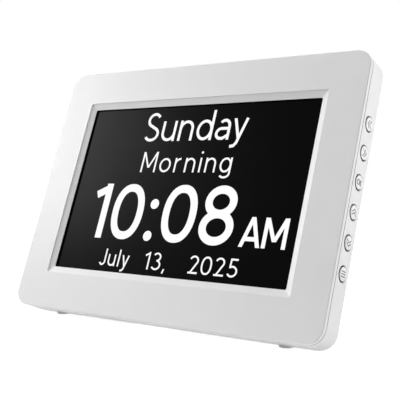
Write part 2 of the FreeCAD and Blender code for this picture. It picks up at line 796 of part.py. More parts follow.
def lcd_brackets():
    for side, x in zip(("left", "right"), mirrored_pair("bracket_right")):
        strap = box(f"bracket_strap_{side}", (f"{x} - bracket_width / 2", f"{x} + bracket_width / 2"),
                    ("lcd_back", "bracket_back"), ("bracket_low", "bracket_high"))
        holes = [cylinder(f"bracket_hole_{side}_{i}", "small_screw_radius + hole_gap", "y",
                          ("lcd_back - margin", "bracket_back + margin"), place_of_hole)
                 for i, place_of_hole in enumerate(bracket_screw_places(x))]
        sub_part(f"lcd_bracket_{side}", [cut(f"bracket_{side}_cut", strap, holes)])


# ---- screws ----

def screw(name, axis, direction, seat, grip, centre, shank_radius, head_radius, head_height):
    """A pan-head screw: its head stands on the seat, on the side that direction names, -1 or 1."""
    far = f"{seat} + ({direction}) * ({head_height})"
    tip = f"{seat} - ({direction}) * ({grip})"
    sunk = f"{far} - ({direction}) * drive_depth"
    proud = f"{far} + ({direction}) * margin"
    head = cylinder(name + "_head", head_radius, axis, sorted((seat, far), key=value), centre)
    shank = cylinder(name + "_shank", shank_radius, axis, sorted((tip, seat), key=value), centre)
    drive = []
    across = [i for i in range(3) if "xyz"[i] != axis]
    for long_axis in across:
        spans = [None, None, None]
        spans["xyz".index(axis)] = sorted((sunk, proud), key=value)
        for i, middle in zip(across, centre):
            half = f"{head_radius} * drive_share" if i == long_axis else "drive_width / 2"
            spans[i] = (f"({middle}) - ({half})", f"({middle}) + ({half})")
        drive.append(box(f"{name}_drive_{'xyz'[long_axis]}", *spans))
    return cut(name, fuse(name + "_blank", [head, shank]), drive)


def small_screw(name, axis, direction, seat, grip, centre):
    return screw(name, axis, direction, seat, grip, centre, "small_screw_radius", "small_head_radius",
                 "small_head_height")


def screws():
    sub_part("cover_screws",
             [screw(f"cover_screw_{i}", "y", 1, "cover_screw_seat", "cover_screw_seat - cover_screw_tip",
                    centre, "cover_screw_radius", "cover_head_radius", "cover_head_height")
              for i, centre in enumerate(cover_screw_places())])
    places = [centre for x in mirrored_pair("bracket_right") for centre in bracket_screw_places(x)]
    sub_part("bracket_screws",
             [small_screw(f"bracket_screw_{i}", "y", 1, "bracket_back",
                          "bracket_screw_grip + bracket_thickness", centre)
              for i, centre in enumerate(places)])
    sub_part("board_screws",
             [small_screw(f"board_screw_{i}", "y", -1, "board_front", "small_screw_grip", centre)
              for i, centre in enumerate(board_screw_places())])
    sub_part("button_board_screws",
             [small_screw(f"button_board_screw_{i}", "x", -1, "button_board_inside", "small_screw_grip",
                          ("button_depth", z)) for i, z in enumerate(button_board_screw_places())])


# ---- the electronics ----

def board_screw_places():
    return [(x, z) for x in ("board_x + board_hole_inset", "board_right - board_hole_inset")
            for z in ("board_bottom + board_hole_inset", "board_top - board_hole_inset")]


def main_board():
    board = box("board_blank", ("board_x", "board_right"), ("board_front", "board_back"),
                ("board_bottom", "board_top"))
    holes = [cylinder(f"board_hole_{i}", "small_screw_radius + hole_gap", "y",
                      ("board_front - margin", "board_back + margin"), centre)
             for i, centre in enumerate(board_screw_places())]
    sub_part("main_board", [cut("board_cut", board, holes)])
    chip_x = "board_x + chip_right"
    chip_z = "board_bottom + chip_up"
    sub_part("processor_chip",
             [box("chip", (f"{chip_x} - chip_side / 2", f"{chip_x} + chip_side / 2"),
                  ("board_back", "board_back + chip_height"),
                  (f"{chip_z} - chip_side / 2", f"{chip_z} + chip_side / 2"))])
    sub_part("capacitors",
             [cylinder(f"capacitor_{i}", "capacitor_radius", "y",
                       ("board_back", "board_back + capacitor_height"),
                       ("board_x + capacitor_right", f"board_bottom + capacitor_up + {i} * capacitor_pitch"))
              for i in range(how_many("capacitor_count"))])


def coin_cell():
    centre = ("coin_x", "coin_z")
    cell_low = "board_back + holder_floor"
    holder_high = f"{cell_low} + coin_thickness"
    holder = cylinder("holder_outside", "coin_radius + seat_gap + holder_wall", "y",
                      ("board_back", holder_high), centre)
    pocket = cylinder("holder_pocket", "coin_radius + seat_gap", "y", (cell_low, f"{holder_high} + margin"),
                      centre)
    notch = box("holder_notch_cut", ("coin_x - holder_notch / 2", "coin_x + holder_notch / 2"),
                (cell_low, f"{holder_high} + margin"), ("coin_z", "coin_z + coin_radius + 2 * holder_wall"))
    sub_part("coin_cell_holder", [cut("holder_cut", holder, [pocket, notch])])
    sub_part("coin_cell", [cylinder("cell", "coin_radius", "y", (cell_low, holder_high), centre)])


def dc_jack():
    """An upright power inlet: a block on the board, whose round nose fills the hole in the back wall."""
    centre = ("jack_x", "jack_z")
    mouth = "case_depth - jack_setback"
    floor = "board_back + jack_floor"
    block = box("jack_block", ("jack_x - jack_side / 2", "jack_x + jack_side / 2"),
                ("board_back", "back_inside - jack_gap"),
                ("jack_z - jack_side / 2", "jack_z + jack_side / 2"))
    nose = cylinder("jack_nose", "jack_nose_radius", "y", ("back_inside - 2 * jack_gap", mouth), centre)
    bore = cylinder("jack_bore", "jack_bore_radius", "y", (floor, f"{mouth} + margin"), centre)
    sub_part("dc_jack", [cut("jack_cut", fuse("jack_body", [block, nose]), [bore])])
    sub_part("dc_jack_pin", [cylinder("jack_pin", "jack_pin_radius", "y",
                                      (floor, f"{mouth} - 2 * jack_gap"), centre)])


def sockets():
    """The sockets of the three cables on the main board, and the one on the button board."""
    x_span = ("socket_x", "socket_x + socket_length")
    half = "socket_width / 2"
    flex_half = "flex_width / 2 + rib_thickness"
    y_span = ("board_front - socket_height", "board_front")
    flex = box("flex_socket", (f"flex_x - ({flex_half})", f"flex_x + {flex_half}"), y_span,
               ("flex_top", "flex_top + flex_socket_depth"))
    ribbon = box("ribbon_socket", x_span, y_span, (f"ribbon_z - {half}", f"ribbon_z + {half}"))
    wire = box("wire_socket", x_span, y_span, ("wire_z - wire_width", "wire_z + wire_width"))
    sub_part("board_sockets", [flex, ribbon, wire])
    y_middle = "ribbon_front + ribbon_thickness / 2"
    sub_part("button_board_socket",
             [box("button_socket", ("button_board_inside - socket_height", "button_board_inside"),
                  (f"{y_middle} - socket_height / 2", f"{y_middle} + socket_height / 2"),
                  (f"ribbon_z - {half}", f"ribbon_z + {half}"))])


def profile_pad(name, plane, corners, length, offset="0", both_ways=True):
    body = doc.addObject("PartDesign::Body", name)
    sketch = outline(body, name + "_outline", plane, corners, offset)
    padded(body, name + "_pad", sketch, length, both_ways=both_ways)
    return body


def cables():
    """The display's flex, the buttons' flat ribbon and the speaker's pair of wires."""
    near = "lcd_back + flex_drop"
    far = "board_front - socket_height / 2"
    start = "lcd_back - lcd_frame_wall"
    flex_corners = [
        (start, "flex_low"),
        (f"{near} + flex_thickness", "flex_low"),
        (f"{near} + flex_thickness", "flex_top - 2 * flex_thickness"),
        (f"{far} + flex_thickness / 2", "flex_top - 2 * flex_thickness"),
        (f"{far} + flex_thickness / 2", "flex_top"),
        (f"{far} - flex_thickness / 2", "flex_top"),
        (f"{far} - flex_thickness / 2", "flex_top - flex_thickness"),
        (near, "flex_top - flex_thickness"),
        (near, "flex_low + flex_thickness"),
        (start, "flex_low + flex_thickness"),
    ]
    flex = profile_pad("flex_strip", "YZ_Plane", flex_corners, "flex_width", "flex_x")
    sub_part("display_flex_cable", [flex])
    sub_part("button_ribbon_cable",
             [box("ribbon_strip", ("socket_x + socket_length", "button_board_inside - socket_height"),
                  ("ribbon_front", "ribbon_front + ribbon_thickness"),
                  ("ribbon_z - ribbon_width / 2", "ribbon_z + ribbon_width / 2"))])
    wire_back = "wire_front + wire_thickness"
    tab_edge = "speaker_right - speaker_radius - speaker_tab"
    wire_corners = [
        ("socket_x + socket_length", "wire_front"),
        (f"{tab_edge} + wire_thickness", "wire_front"),
        (f"{tab_edge} + wire_thickness", "speaker_tab_front"),
        (tab_edge, "speaker_tab_front"),
        (tab_edge, wire_back),
        ("socket_x + socket_length", wire_back),
    ]
    sub_part("speaker_cable", [profile_pad("wire_pair", "XY_Plane", wire_corners, "wire_width", "wire_z")])


def speaker():
    centre = ("speaker_right", "speaker_up")
    flange = cylinder("speaker_flange_disc", "speaker_radius", "y", ("speaker_step", "speaker_back"), centre)
    basket = cone("speaker_basket", ("magnet_radius", "speaker_cone_radius"), "y",
                  ("magnet_back", "speaker_step"), centre)
    magnet = cylinder("speaker_magnet", "magnet_radius", "y", ("magnet_back - magnet_height", "magnet_back"),
                      centre)
    tab = box("speaker_tab_plate",
              ("speaker_right - speaker_radius - speaker_tab", "speaker_right - speaker_cone_radius"),
              ("speaker_tab_front", "speaker_step"),
              ("wire_z - speaker_tab_width / 2", "wire_z + speaker_tab_width / 2"))
    dish = cone("speaker_dish", ("magnet_radius / 2", "speaker_cone_radius - speaker_gasket_width / 2"), "y",
                ("magnet_back + speaker_cone_wall", "speaker_back"), centre)
    sub_part("speaker", [cut("speaker_cut", fuse("speaker_body", [flange, basket, magnet, tab]), [dish])])
    ring = cylinder("speaker_gasket_outside", "speaker_radius", "y", ("speaker_back", "back_inside"), centre)
    hole = cylinder("speaker_gasket_inside", "speaker_radius - speaker_gasket_width", "y",
                    ("speaker_back - margin", "back_inside + margin"), centre)
    sub_part("speaker_gasket", [cut("speaker_gasket_cut", ring, [hole])])


# ---- the buttons ----

def button_board():
    board = box("button_board_blank", ("button_board_inside", "button_board_outside"),
                ("button_depth - button_board_width / 2", "button_depth + button_board_width / 2"),
                ("button_row - button_board_half", "button_row + button_board_half"))
    holes = [cylinder(f"button_board_hole_{i}", "small_screw_radius + hole_gap", "x",
                      ("button_board_inside - margin", "button_board_outside + margin"), ("button_depth", z))
             for i, z in enumerate(button_board_screw_places())]
    sub_part("button_board", [cut("button_board_cut", board, holes)])
    switches = []
    half = "switch_side / 2"
    for i, z in enumerate(button_heights()):
        block = box(f"switch_block_{i}", ("button_board_outside", "switch_top"),
                    (f"button_depth - {half}", f"button_depth + {half}"), (f"{z} - {half}", f"{z} + {half}"))
        well = cylinder(f"switch_well_{i}", "plunger_radius + plunger_gap", "x",
                        ("plunger_foot - button_travel - plunger_gap", "switch_top + margin"),
                        ("button_depth", z))
        switches.append(cut(f"switch_{i}", block, [well]))
    sub_part("tact_switches", switches)


def buttons():
    """Each cap slides in its hole, held in by a flange, and its stem stands on a switch's plunger.

    The cap's flat dome is highest behind its middle, so the cap is sunk at the front and proud at the back.
    """
    crown = "half_width + button_proud"
    for name, z in zip(BUTTON_NAMES, button_heights()):
        centre = ("button_depth", z)
        post = cylinder(f"{name}_post", "button_radius", "x", ("flange_outside - button_flange / 2", crown),
                        centre)
        dome = doc.addObject("Part::Sphere", f"{name}_dome")
        bind(dome, "Radius", "button_dome_radius")
        place(dome, (f"{crown} - button_dome_radius", "button_depth + button_dome_setback", z))
        flange = cylinder(f"{name}_flange", "button_flange_radius", "x", ("flange_inside", "flange_outside"),
                          centre)
        stem = cylinder(f"{name}_stem", "button_stem_radius", "x", ("plunger_top", "flange_outside"), centre)
        cap = fuse(f"{name}_cap", [common(f"{name}_crowned", post, dome), flange, stem])
        sub_part(f"button_{name}", [cap])
        sub_part(f"plunger_{name}",
                 [cylinder(f"{name}_plunger", "plunger_radius", "x", ("plunger_foot", "plunger_top"),
                           centre)])


# ---- standing ----

def rubber_feet():
    """Two pads under the back edge, flat on the table and hollowed to the case's curve above."""
    envelope = round_cornered("foot_envelope", "0", ("rear_start", "case_depth"), "corner_radius",
                              back="back_edge_radius")
    pads = []
    for side, x in zip(("left", "right"), mirrored_pair("half_width - foot_inset")):
        pad = doc.addObject("Part::Cylinder", f"foot_blank_{side}")
        bind(pad, "Radius", "foot_radius")
        bind(pad, "Height", "foot_clearance + foot_embed")
        pad.Placement = FreeCAD.Placement(FreeCAD.Vector(), FreeCAD.Rotation(FreeCAD.Vector(1, 0, 0), 1))
        bind(pad, "Placement.Rotation.Angle", "lean_angle")
        place(pad, (x, "foot_y * cos(lean_angle) + lift * sin(lean_angle)",
                    "foot_y * sin(lean_angle) - lift * cos(lean_angle)"))
        pads.append(cut(f"foot_{side}", pad, [envelope]))
    sub_part("rubber_feet", pads)


def leg_part(label, solids):
    """A piece drawn in the leg's own axes: the hinge axis is x, and the leg runs down from it."""
    piece = doc.addObject("Part::Compound", label)
    piece.Label = label
    piece.Links = solids
    piece.Placement = FreeCAD.Placement(FreeCAD.Vector(), FreeCAD.Rotation(FreeCAD.Vector(1, 0, 0), 1))
    bind(piece, "Placement.Rotation.Angle", "leg_splay")
    place(piece, ("0", "hinge_y", "hinge_z"))
    sub_parts.append(piece)


def stand_leg():
    half = "leg_thickness / 2"
    plate_corners = [
        ("0 - leg_foot_width / 2", "0 - leg_reach"),
        ("leg_foot_width / 2", "0 - leg_reach"),
        ("leg_width / 2", "0"),
        ("leg_width / 2", "leg_stop"),
        ("0 - leg_width / 2", "leg_stop"),
        ("0 - leg_width / 2", "0"),
    ]
    plate = profile_pad("leg_plate", "XZ_Plane", plate_corners, "leg_thickness")
    edges = edges_where(plate.Tip.Shape, at_depth(value(half)))
    rounded(plate, "leg_outer_edge", plate.Tip, edges, "leg_edge_radius")
    barrel = cylinder("leg_barrel", "barrel_radius", "x", mirrored_pair("leg_width / 2"), ("0", "0"))
    rib_top = "0 - barrel_radius - leg_rib_border"
    rib_low = "leg_rib_border - leg_reach"
    pocket = box("leg_pocket", mirrored_pair("leg_foot_width / 2 - leg_rib_border"),
                 (f"0 - {half} - margin", f"leg_rib - {half}"), (rib_low, rib_top))
    web = box("leg_web", mirrored_pair("leg_rib_wall / 2"), (f"0 - {half}", "0"), (rib_low, rib_top))
    body = fuse("leg_body", [cut("leg_pocketed", plate, [pocket]), web, barrel])
    bore = cylinder("leg_bore", "pin_radius + pin_running_gap", "x", mirrored_pair("leg_width / 2 + margin"),
                    ("0", "0"))
    leg_part("stand_leg", [cut("leg_cut", body, [bore])])
    pad_corners = [
        (f"0 - {half}", "0 - leg_reach"),
        (f"0 - {half}", f"0 - (hinge_z - {half} * sin(leg_splay)) / cos(leg_splay)"),
        (half, f"0 - (hinge_z + {half} * sin(leg_splay)) / cos(leg_splay)"),
        (half, "0 - leg_reach"),
    ]
    leg_part("leg_foot_pad", [profile_pad("leg_pad", "YZ_Plane", pad_corners, "leg_foot_width")])


def hinge():
    sub_part("hinge_pin", [cylinder("pin", "pin_radius", "x", mirrored_pair("recess_half + tray_wall"),
                                    ("hinge_depth", "hinge_up"))])
    washers = []
    for side, sign in (("left", "-1"), ("right", "1")):
        ends = sorted((f"{sign} * (leg_width / 2 + washer_gap)", f"{sign} * (recess_half - washer_gap)"),
                      key=value)
        disc = cylinder(f"washer_disc_{side}", "washer_radius", "x", ends, ("hinge_depth", "hinge_up"))
        hole = cylinder(f"washer_hole_{side}", "pin_radius + pin_running_gap", "x",
                        mirrored_pair("recess_half"), ("hinge_depth", "hinge_up"))
        washers.append(cut(f"washer_{side}", disc, [hole]))
    sub_part("hinge_washers", washers)


front_bezel()
rear_cover()
display_module()
lcd_brackets()
screws()
main_board()
coin_cell()
dc_jack()
sockets()
cables()
speaker()
button_board()
buttons()
rubber_feet()
stand_leg()
hinge()
doc.recompute()

for thing in doc.Objects:
    if "Invalid" in thing.State or "Error" in thing.State:
        raise RuntimeError(f"{thing.Label} did not build: {thing.State}")
for piece in sub_parts:
    if piece.Shape.isNull() or not piece.Shape.isValid() or not piece.Shape.Solids:
        raise RuntimeError(f"{piece.Label} has no valid solid")

os.makedirs("parts", exist_ok=True)
for piece in sub_parts:
    piece.Shape.exportStep(f"parts/{piece.Label}.step")
    print(f"{piece.Label}: {len(piece.Shape.Solids)} solids, {piece.Shape.Volume:.1f} mm3")
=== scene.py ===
import json
import math

import bpy
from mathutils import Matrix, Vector


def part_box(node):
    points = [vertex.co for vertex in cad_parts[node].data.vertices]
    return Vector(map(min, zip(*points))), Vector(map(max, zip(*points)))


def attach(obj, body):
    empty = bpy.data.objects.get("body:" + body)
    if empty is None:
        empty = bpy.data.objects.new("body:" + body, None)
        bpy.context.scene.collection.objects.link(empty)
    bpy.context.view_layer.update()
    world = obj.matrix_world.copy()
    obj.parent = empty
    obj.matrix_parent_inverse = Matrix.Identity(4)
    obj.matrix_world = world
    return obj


# Looks of a calendar day clock that leans back on its leg. Everything is in metres, z up.

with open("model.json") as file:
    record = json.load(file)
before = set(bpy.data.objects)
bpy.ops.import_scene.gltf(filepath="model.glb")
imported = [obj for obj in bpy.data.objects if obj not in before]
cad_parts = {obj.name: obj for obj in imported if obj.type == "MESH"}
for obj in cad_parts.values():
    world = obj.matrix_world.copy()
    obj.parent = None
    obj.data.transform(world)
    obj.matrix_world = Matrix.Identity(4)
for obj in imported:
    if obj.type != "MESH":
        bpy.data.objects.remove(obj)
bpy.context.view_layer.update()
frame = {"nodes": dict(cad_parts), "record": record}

MM = 0.001

# The case leans back about its lower edge. A keyhole's axis gives the lean.
keyhole = next(mount for mount in frame["record"]["mounts"] if mount["name"] == "keyhole_left")
INTO = Vector(keyhole["axis"]).normalized()
RIGHT = Vector((1.0, 0.0, 0.0))
UP = RIGHT.cross(INTO).normalized()


def span(node, axis):
    """Lowest and highest place of a CAD piece along an axis."""
    along = [vertex.co.dot(axis) for vertex in frame["nodes"][node].data.vertices]
    return min(along), max(along)


CASE_SIDE = span("rear_cover", RIGHT)[1]
CASE_FRONT = span("front_bezel", INTO)[0]

# Painted shade in the parting groove, this deep behind the case's front, and on the caps' skirts down in
# their holes.
GROOVE_DEPTH = 2.72 * MM
GROOVE_HALF = 0.3 * MM
GROOVE_FADE = 0.06 * MM
SKIRT_FADE = 0.12 * MM
GROOVE_SHADE = 0.4
SKIRT_SHADE = 0.06

# Moulded plastic: its faint flow shading, its uneven skin, and how far its sheen varies.
FLOW_SIZE = 30 * MM
FLOW_DARK = 0.985
FLOW_BRIGHT = 1.01
SKIN_SIZE = 4 * MM
SKIN_VARIES = 0.08


# ---- mesh and node helpers ----

def mesh_piece(name, vertices, faces):
    """A linked object with a mesh of these faces."""
    mesh = bpy.data.meshes.new(name)
    mesh.from_pydata([tuple(v) for v in vertices], [], faces)
    mesh.validate()
    piece = bpy.data.objects.new(name, mesh)
    bpy.context.scene.collection.objects.link(piece)
    return piece


def feed(tree, socket, source):
    """Links an input to another node's output, or gives it a fixed value."""
    if isinstance(source, bpy.types.NodeSocket):
        tree.links.new(source, socket)
    else:
        socket.default_value = source


def add_node(tree, kind, inputs=None, **settings):
    """A node with its settings, and its inputs fed by name or number."""
    made = tree.nodes.new(kind)
    for name, setting in settings.items():
        setattr(made, name, setting)
    for name, source in (inputs or {}).items():
        feed(tree, made.inputs[name], source)
    return made


def grey(level):
    """An even grey that lets nothing through."""
    return (level, level, level, 1.0)


def finish(name, colour, roughness, metallic=0.0, specular=0.5, **extra):
    """A Principled material and its node tree, with the even values set on the shader."""
    material = bpy.data.materials.new(name)
    material.use_nodes = True
    tree = material.node_tree
    shader = tree.nodes["Principled BSDF"]
    shader.inputs["Base Color"].default_value = colour
    shader.inputs["Roughness"].default_value = roughness
    shader.inputs["Metallic"].default_value = metallic
    shader.inputs["Specular IOR Level"].default_value = specular
    for socket, setting in extra.items():
        shader.inputs[socket.replace("_", " ")].default_value = setting
    return material, tree, shader


def object_place(tree):
    """Where a point lies in its piece's own frame."""
    return add_node(tree, "ShaderNodeTexCoord").outputs["Object"]


def calculate(tree, operation, *values):
    """One step of arithmetic on numbers or sockets."""
    return add_node(tree, "ShaderNodeMath", dict(enumerate(values)), operation=operation).outputs[0]


def ramp(tree, factor, start, end, low=0.0, high=1.0, shape="LINEAR"):
    """Goes from low to high while the factor goes from start to end."""
    ranged = add_node(tree, "ShaderNodeMapRange",
                      {"Value": factor, "From Min": start, "From Max": end, "To Min": low, "To Max": high},
                      interpolation_type=shape)
    return ranged.outputs["Result"]


def grain(tree, size, stretch=(1.0, 1.0, 1.0), detail=2.0):
    """A noise whose cells are size metres across, stretched along the piece where asked."""
    mapped = add_node(tree, "ShaderNodeMapping", {"Vector": object_place(tree), "Scale": stretch})
    noise = add_node(tree, "ShaderNodeTexNoise",
                     {"Vector": mapped.outputs["Vector"], "Scale": 1.0 / size, "Detail": detail})
    return noise.outputs["Fac"]


def spread(tree, factor, low, high):
    """The factor's middle half, spread from low to high."""
    return ramp(tree, factor, 0.25, 0.75, low, high)


def blend_colour(tree, shader, factor, first, second):
    """Base colour that goes from the first to the second while the factor goes from nought to one."""
    mixed = add_node(tree, "ShaderNodeMix", {"Factor": factor}, data_type="RGBA")
    colours = [socket for socket in mixed.inputs if socket.type == "RGBA"]
    feed(tree, colours[0], first)
    feed(tree, colours[1], second)
    result = next(socket for socket in mixed.outputs if socket.type == "RGBA")
    tree.links.new(result, shader.inputs["Base Color"])


def vary_sheen(tree, shader, factor, roughness, share):
    """Roughness that the factor varies up and down by this share of it."""
    varied = spread(tree, factor, roughness * (1 - share), roughness * (1 + share))
    tree.links.new(varied, shader.inputs["Roughness"])


def raise_grain(tree, shader, height, depth, strength):
    """Surface that the height lifts by up to the depth."""
    bump = add_node(tree, "ShaderNodeBump", {"Height": height, "Distance": depth, "Strength": strength})
    tree.links.new(bump.outputs["Normal"], shader.inputs["Normal"])


def moulded(name, level, roughness, grain_size, depth, specular=0.5, tint=(1.0, 1.0, 1.0)):
    """Injection-moulded plastic: faint flow shading, an uneven satin skin and a spark-eroded grain."""
    def shade(scale):
        return tuple(min(1.0, level * scale * t) for t in tint) + (1.0,)
    material, tree, shader = finish(name, shade(1.0), roughness, specular=specular)
    flow = spread(tree, grain(tree, FLOW_SIZE), 0.0, 1.0)
    blend_colour(tree, shader, flow, shade(FLOW_DARK), shade(FLOW_BRIGHT))
    vary_sheen(tree, shader, grain(tree, SKIN_SIZE, detail=3.0), roughness, SKIN_VARIES)
    raise_grain(tree, shader, grain(tree, grain_size, detail=3.0), depth, 0.5)
    return material


def paint_shade(material, unshaded_share, shade_grey):
    """Mixes painted shade into the material's colour where the unshaded share falls below one."""
    tree = material.node_tree
    shader = tree.nodes["Principled BSDF"]
    own_colour = shader.inputs["Base Color"].links[0].from_socket
    blend_colour(tree, shader, unshaded_share, shade_grey, own_colour)
    return material


def case_plastic():
    """The case, with painted shade along the parting groove behind the front plate."""
    material = moulded("white_case", 0.80, 0.42, 0.45 * MM, 0.012 * MM)
    tree = material.node_tree
    along = add_node(tree, "ShaderNodeVectorMath", {0: object_place(tree), 1: INTO}, operation="DOT_PRODUCT")
    off_groove = calculate(tree, "SUBTRACT", along.outputs["Value"], CASE_FRONT + GROOVE_DEPTH)
    away = calculate(tree, "ABSOLUTE", off_groove)
    # Painted shade: grey across the groove's width, fading out at its edges.
    unshaded = ramp(tree, away, GROOVE_HALF - GROOVE_FADE, GROOVE_HALF + GROOVE_FADE)
    return paint_shade(material, unshaded, grey(GROOVE_SHADE))


def cap_plastic():
    """The button caps: plain on top, and dark with painted shade on the skirts down in their holes."""
    material = moulded("white_button", 0.82, 0.36, 0.5 * MM, 0.008 * MM)
    tree = material.node_tree
    across = add_node(tree, "ShaderNodeSeparateXYZ", {"Vector": object_place(tree)}).outputs["X"]
    # Painted shade: the skirt below the case's side turns near black.
    unshaded = ramp(tree, across, CASE_SIDE - SKIRT_FADE, CASE_SIDE + SKIRT_FADE)
    return paint_shade(material, unshaded, grey(SKIRT_SHADE))


def drawn_metal(name, level, roughness):
    """Rolled or turned metal with fine lines along x and a dulled skin."""
    material, tree, shader = finish(name, grey(level), roughness, metallic=1.0)
    lines = grain(tree, 0.5 * MM, stretch=(0.06, 1.0, 1.0), detail=3.0)
    vary_sheen(tree, shader, lines, roughness, 0.25)
    dulled = spread(tree, grain(tree, 6 * MM), 0.0, 1.0)
    blend_colour(tree, shader, dulled, grey(level), grey(level * 0.8))
    raise_grain(tree, shader, lines, 0.02 * MM, 0.4)
    return material


def film(name, level, roughness, transmission=0.0):
    """Thin plastic film or sheet, cloudy in places."""
    material, tree, shader = finish(name, grey(level), roughness, Transmission_Weight=transmission)
    vary_sheen(tree, shader, grain(tree, 9 * MM, detail=3.0), roughness, 0.2)
    raise_grain(tree, shader, grain(tree, 0.8 * MM), 0.01 * MM, 0.3)
    return material


def striped(name, first, second, pitch, axis, roughness):
    """Flat cable: its conductors show as stripes across the width."""
    material, tree, shader = finish(name, first, roughness)
    wave = add_node(tree, "ShaderNodeTexWave",
                    {"Vector": object_place(tree), "Scale": math.pi / (10 * pitch), "Distortion": 0.0},
                    bands_direction=axis)
    blend_colour(tree, shader, wave.outputs["Fac"], first, second)
    raise_grain(tree, shader, wave.outputs["Fac"], 0.1 * MM, 0.5)
    return material


def circuit_board():
    """Green solder mask over copper tracks that run square to each other."""
    mask = (0.012, 0.13, 0.055, 1.0)
    copper = (0.03, 0.24, 0.09, 1.0)
    material, tree, shader = finish("circuit_board", mask, 0.35)
    tracks = add_node(tree, "ShaderNodeTexVoronoi",
                      {"Vector": object_place(tree), "Scale": 1.0 / (1.6 * MM)},
                      distance="MANHATTAN", feature="F1")
    blend_colour(tree, shader, spread(tree, tracks.outputs["Distance"], 0.0, 1.0), copper, mask)
    raise_grain(tree, shader, tracks.outputs["Distance"], 0.03 * MM, 0.4)
    return material


def display_glass():
    """Black panel behind an anti-glare polariser: a soft sheen, faintly uneven."""
    roughness = 0.25
    material, tree, shader = finish("display_glass", grey(0.001), roughness, specular=0.026)
    vary_sheen(tree, shader, grain(tree, 14 * MM, detail=3.0), roughness, 0.08)
    raise_grain(tree, shader, grain(tree, 0.12 * MM), 0.002 * MM, 0.2)
    return material


def lit_text():
    """Lit characters on the display."""
    material = bpy.data.materials.new("lit_text")
    material.use_nodes = True
    tree = material.node_tree
    tree.nodes.remove(tree.nodes["Principled BSDF"])
    lamp = add_node(tree, "ShaderNodeEmission", {"Color": grey(1.0), "Strength": 1.0})
    tree.links.new(lamp.outputs["Emission"], tree.nodes["Material Output"].inputs["Surface"])
    return material


def pad_ink():
    """Grey pad-printed ink, a little uneven where it lies on the grain."""
    material, tree, shader = finish("pad_ink", grey(0.1), 0.55)
    blend_colour(tree, shader, spread(tree, grain(tree, 0.5 * MM), 0.0, 1.0), grey(0.08), grey(0.12))
    raise_grain(tree, shader, grain(tree, 0.3 * MM), 0.01 * MM, 0.4)
    return material


FINISHES = {
    "white_case": case_plastic(),
    "white_button": cap_plastic(),
    "display_glass": display_glass(),
    "black_foam": moulded("black_foam", 0.012, 0.9, 0.35 * MM, 0.08 * MM, specular=0.1),
    "diffuser_film": film("diffuser_film", 0.85, 0.6),
    "clear_acrylic": film("clear_acrylic", 0.9, 0.05, transmission=1.0),
    "reflector_film": film("reflector_film", 0.9, 0.3),
    "bright_steel": drawn_metal("bright_steel", 0.62, 0.3),
    "dark_screw_steel": drawn_metal("dark_screw_steel", 0.14, 0.38),
    "circuit_board": circuit_board(),
    "black_moulding": moulded("black_moulding", 0.022, 0.5, 0.4 * MM, 0.015 * MM),
    "capacitor_can": drawn_metal("capacitor_can", 0.55, 0.28),
    "pale_socket": moulded("pale_socket", 0.72, 0.5, 0.5 * MM, 0.01 * MM, tint=(1.0, 0.97, 0.88)),
    "flex_film": striped("flex_film", (0.45, 0.2, 0.04, 1.0), (0.3, 0.12, 0.02, 1.0), 0.8 * MM, "X", 0.35),
    "pale_cable": striped("pale_cable", grey(0.62), grey(0.45), 1.0 * MM, "Z", 0.5),
    "speaker_black": moulded("speaker_black", 0.02, 0.75, 0.7 * MM, 0.05 * MM, specular=0.25),
    "pale_rubber": moulded("pale_rubber", 0.80, 0.7, 0.3 * MM, 0.03 * MM, specular=0.3),
}

for part in frame["record"]["subparts"]:
    piece = frame["nodes"][part["node"]]
    for slot in piece.material_slots:
        slot.material = FINISHES[part["material_slot"]]


# ---- strokes: flat ribbons that make characters and symbols ----

ARC_STEP = 7.5
RING_END = 360 - ARC_STEP


def arc(centre, radii, start, end, squareness=2.0):
    """Points on an oval from one angle to another, in degrees. Over 2, the oval fills its box more."""
    steps = max(2, round(abs(end - start) / ARC_STEP))
    points = []
    for step in range(steps + 1):
        angle = math.radians(start + (end - start) * step / steps)
        c, s = math.cos(angle), math.sin(angle)
        points.append((centre[0] + radii[0] * math.copysign(abs(c) ** (2 / squareness), c),
                       centre[1] + radii[1] * math.copysign(abs(s) ** (2 / squareness), s)))
    return points


def ribbon(points, width, closed=False):
    """Left and right edge points of a stroke of even width, mitred at its corners."""
    count = len(points)
    left, right = [], []
    for i, (x, y) in enumerate(points):
        before = points[i - 1] if i or closed else None
        after = points[(i + 1) % count] if i + 1 < count or closed else None
        sides = []
        for a, b in ((before, (x, y)), ((x, y), after)):
            if a is not None and b is not None:
                dx, dy = b[0] - a[0], b[1] - a[1]
                length = math.hypot(dx, dy)
                sides.append((-dy / length, dx / length))
        nx, ny = sum(s[0] for s in sides) / len(sides), sum(s[1] for s in sides) / len(sides)
        reach = width / 2 / (nx * nx + ny * ny)
        left.append((x + nx * reach, y + ny * reach))
        right.append((x - nx * reach, y - ny * reach))
    return left, right, closed


def ring(centre, radii, width, squareness=2.0):
    """A closed oval stroke."""
    return ribbon(arc(centre, radii, 0, RING_END, squareness), width, closed=True)


def slant(low, high, width):
    """A straight stroke between two heights, its ends cut level."""
    dx, dy = high[0] - low[0], high[1] - low[1]
    half = width / 2 * math.hypot(dx, dy) / abs(dy)
    left = [(low[0] - half, low[1]), (high[0] - half, high[1])]
    right = [(low[0] + half, low[1]), (high[0] + half, high[1])]
    return left, right, False


def dot(centre, radius):
    """A round dot, as two half rims."""
    upper = arc(centre, (radius, radius), 180, 0)
    lower = arc(centre, (radius, radius), 180, 360)
    return upper[1:-1], lower[1:-1], False


X_HEIGHT = 0.69
TAIL = -0.27


